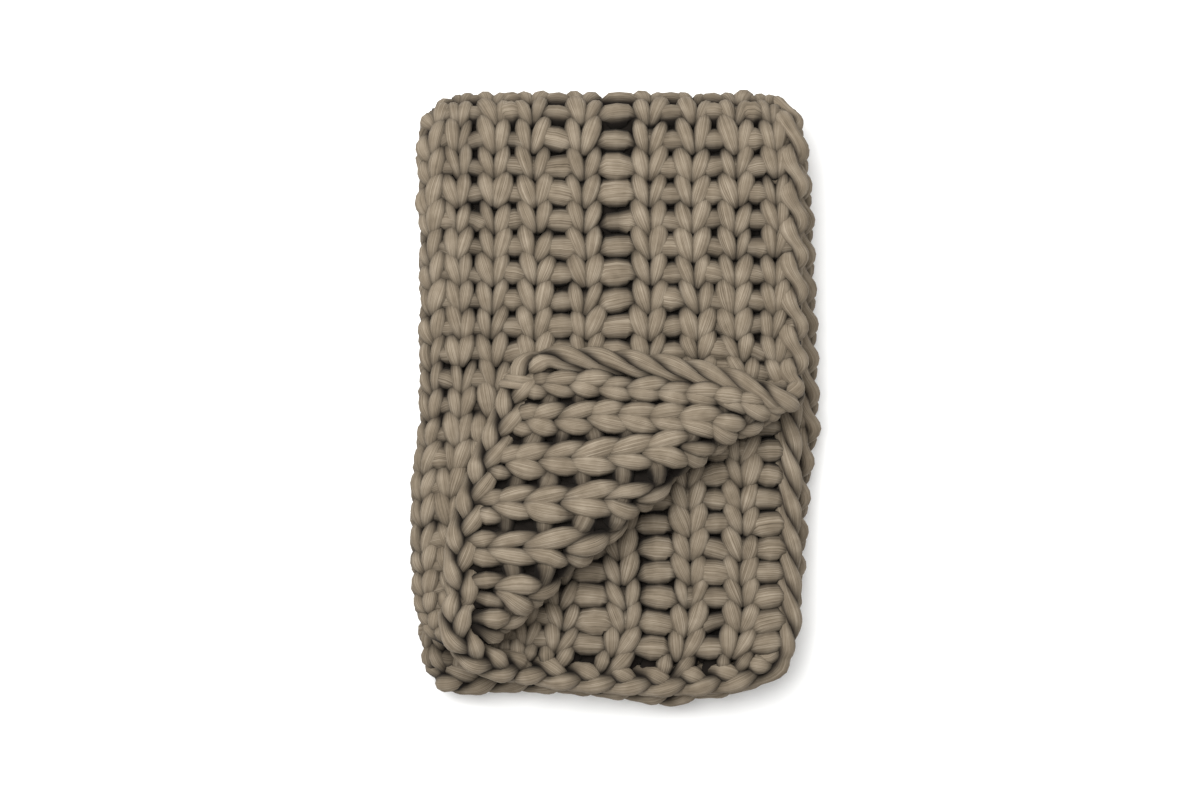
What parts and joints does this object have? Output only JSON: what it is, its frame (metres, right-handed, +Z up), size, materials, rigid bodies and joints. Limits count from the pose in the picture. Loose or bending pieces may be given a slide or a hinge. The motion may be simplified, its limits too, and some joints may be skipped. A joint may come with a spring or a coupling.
{
  "type": "folded chunky-knit wool blanket",
  "caption": "Heavy rib-knit wool throw folded in quarter, lying flat, with the top layer's corner turned back over a roll.",
  "frame": {"origin": "on the surface the throw lies on, under the middle of its box", "axes": "+Y along the ribs towards the second fold, +X across the ribs towards the selvedges, +Z up through the layers"},
  "size_m": [0.5092, 0.7798, 0.1855],
  "materials": {
    "wool": "unspun wool roving, matt, soft and slightly fuzzy"
  },
  "bodies": {
    "root": {"blanket": "wool"}
  },
  "joints": []
}
